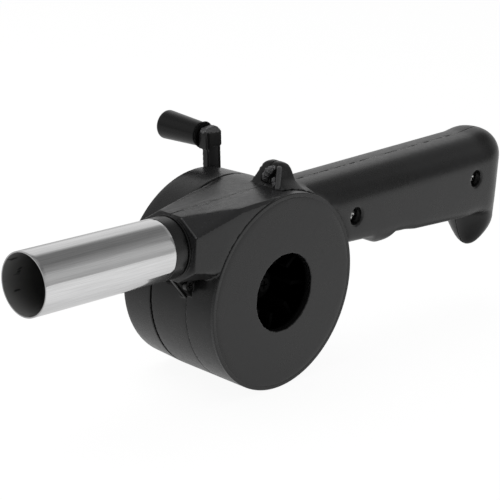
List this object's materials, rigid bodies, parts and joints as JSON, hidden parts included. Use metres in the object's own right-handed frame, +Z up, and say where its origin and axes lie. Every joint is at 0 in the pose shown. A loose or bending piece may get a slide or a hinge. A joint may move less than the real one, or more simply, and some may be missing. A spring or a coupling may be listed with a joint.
{
  "type": "hand crank blower",
  "caption": "Hand-held blower with a round drum housing, side crank, geared impeller, metal nozzle tube and a hooked pistol-style grip.",
  "frame": {"origin": "centre of the air inlet, on the flat intake face of the drum", "axes": "+Z up, +X towards the grip, -X along the nozzle's air stream, +Y from the intake face to the crank, along the impeller's axis"},
  "size_m": [0.2827, 0.0815, 0.1009],
  "materials": {
    "shell": "fine satin grain",
    "cover": "satin",
    "tube": "polished stainless steel",
    "impeller": "moulded",
    "steel": "ground",
    "screw": "bright plated",
    "bush": "sintered",
    "nylon": "moulded nylon",
    "arm": "moulded",
    "knob": "smooth satin"
  },
  "bodies": {
    "housing": {"near_shell": "shell", "far_shell": "shell", "gear_cover": "cover", "nozzle_tube": "tube", "fan_bush": "bush", "idler_axle": "steel", "idler_washers": "nylon", "inner_crank_bush": "bush", "outer_crank_bush": "bush", "grip_screws": "screw", "lug_screw": "screw", "web_screw": "screw", "cover_screws": "screw"},
    "crank": {"crank_arm": "arm", "crank_shaft": "steel", "drive_gear": "nylon", "gear_pin": "steel", "arm_screw": "screw", "knob_ring": "arm", "knob_pin": "steel"},
    "idler": {"idler_gear": "nylon"},
    "fan": {"impeller": "impeller", "fan_shaft": "steel", "fan_pinion": "bush", "fan_screw": "screw", "fan_washer": "nylon"},
    "knob": {"crank_knob": "knob"}
  },
  "joints": [
    {"name": "crank_turn", "type": "hinge", "parent": "housing", "child": "crank", "pos_m": [0.016, 0.0454, -0.003], "axis": [0, 1, 0], "continuous": true},
    {"name": "idler_turn", "type": "hinge", "parent": "housing", "child": "idler", "pos_m": [0.00103, 0.0431, 0.01947], "axis": [0, 1, 0], "continuous": true},
    {"name": "fan_turn", "type": "hinge", "parent": "housing", "child": "fan", "pos_m": [0, 0.0338, 0], "axis": [0, 1, 0], "continuous": true},
    {"name": "knob_turn", "type": "hinge", "parent": "crank", "child": "knob", "pos_m": [0.00876, 0.0707, 0.05264], "axis": [0, 1, 0], "continuous": true}
  ],
  "couplings": [
    {"joint": "idler_turn", "follows": "crank_turn", "ratio": -4},
    {"joint": "fan_turn", "follows": "crank_turn", "ratio": 13.333}
  ]
}
